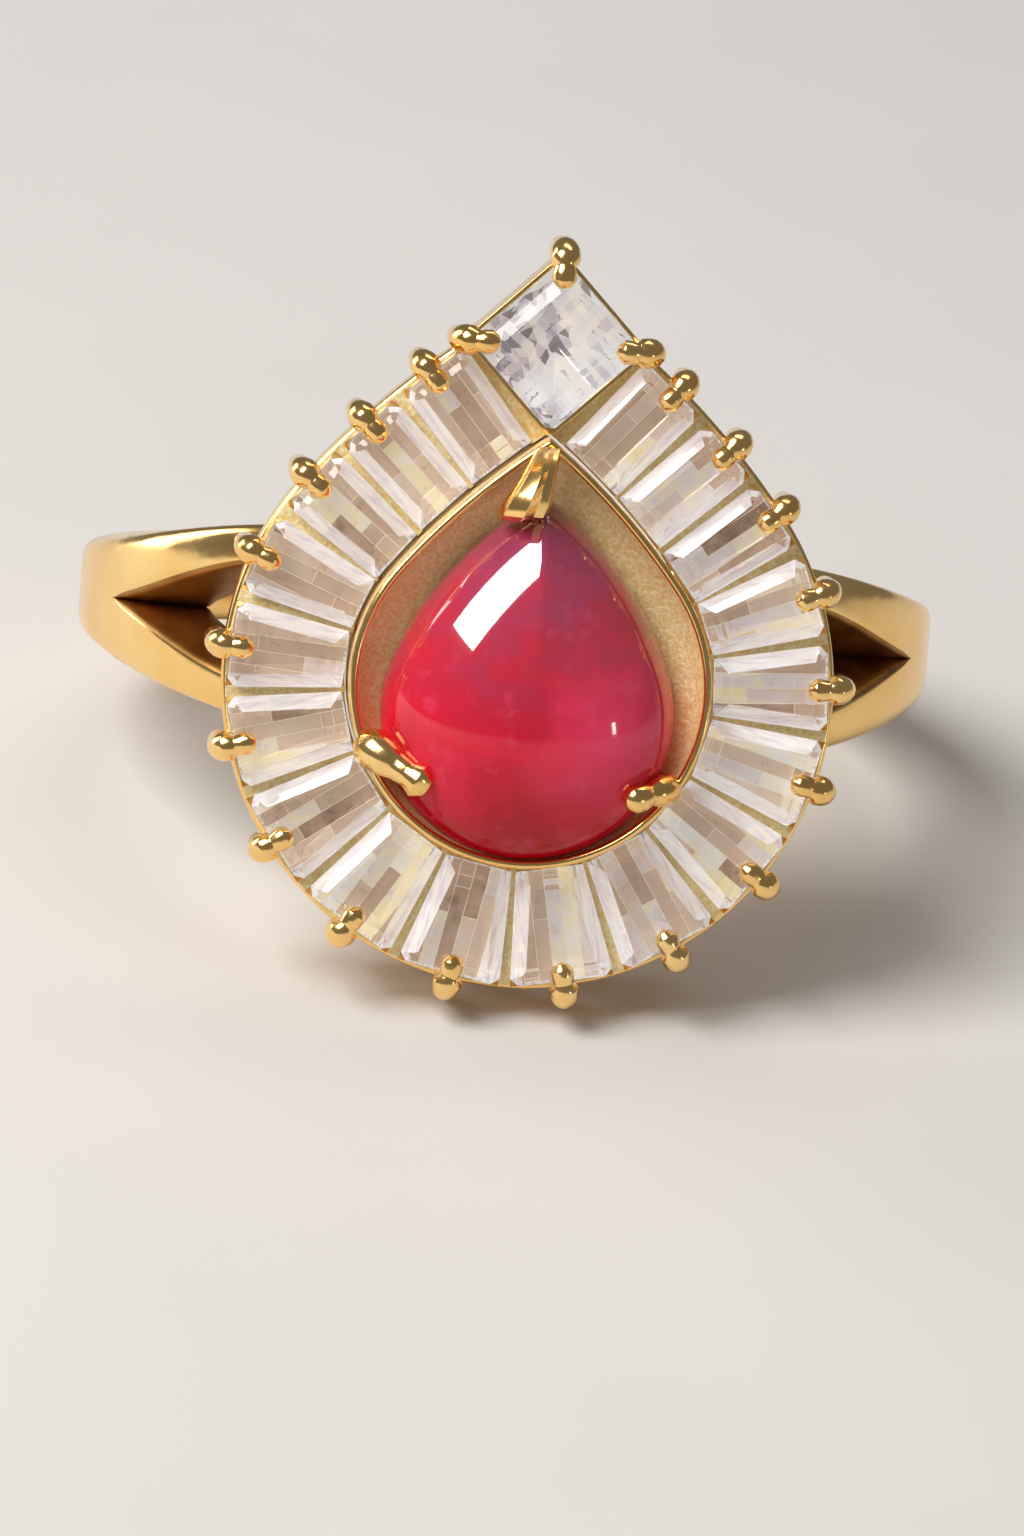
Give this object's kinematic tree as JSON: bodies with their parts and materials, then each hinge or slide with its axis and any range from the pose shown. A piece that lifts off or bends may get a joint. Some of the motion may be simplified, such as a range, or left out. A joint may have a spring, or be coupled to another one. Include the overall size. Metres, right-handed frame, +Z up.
{
  "type": "cocktail ring",
  "caption": "Pear-shaped cluster cocktail ring with a domed red centre stone in a cup, a halo of tapered clear stones, a square stone at the tip and a split band.",
  "frame": {"origin": "on the table, under the middle of the resting ring's bounding box", "axes": "+Z up from the table; the stones face -Y and lean back; +X is the wearer's right when the stones face the viewer; the pear's point is uppermost"},
  "size_m": [0.0222, 0.0254, 0.0185],
  "materials": {
    "gold": "polished yellow gold, high polish",
    "cast_gold": "satin cast gold: fine-grained concave wall, polished rim",
    "ruby": "polished ruby-red cabochon, cloudy translucent body",
    "clear_stone": "polished faceted colourless stone"
  },
  "bodies": {
    "root": {"shank": "gold", "gallery": "gold", "halo_seat": "gold", "collet": "cast_gold", "princess_seat": "gold", "centre_claw_point": "gold", "centre_claw_left": "gold", "centre_claw_right": "gold", "ruby_cabochon": "ruby", "princess_stone": "clear_stone", "princess_claw_top": "gold", "princess_claw_left": "gold", "princess_claw_right": "gold", "baguette_left_1": "clear_stone", "baguette_left_2": "clear_stone", "baguette_left_3": "clear_stone", "baguette_left_4": "clear_stone", "baguette_left_5": "clear_stone", "baguette_left_6": "clear_stone", "baguette_left_7": "clear_stone", "baguette_left_8": "clear_stone", "baguette_left_9": "clear_stone", "halo_claw_left_1": "gold", "halo_claw_left_2": "gold", "halo_claw_left_3": "gold", "halo_claw_left_4": "gold", "halo_claw_left_5": "gold", "halo_claw_left_6": "gold", "halo_claw_left_7": "gold", "halo_claw_left_8": "gold", "halo_claw_left_9": "gold", "baguette_right_1": "clear_stone", "baguette_right_2": "clear_stone", "baguette_right_3": "clear_stone", "baguette_right_4": "clear_stone", "baguette_right_5": "clear_stone", "baguette_right_6": "clear_stone", "baguette_right_7": "clear_stone", "baguette_right_8": "clear_stone", "baguette_right_9": "clear_stone", "halo_claw_right_1": "gold", "halo_claw_right_2": "gold", "halo_claw_right_3": "gold", "halo_claw_right_4": "gold", "halo_claw_right_5": "gold", "halo_claw_right_6": "gold", "halo_claw_right_7": "gold", "halo_claw_right_8": "gold", "halo_claw_right_9": "gold"}
  },
  "joints": []
}
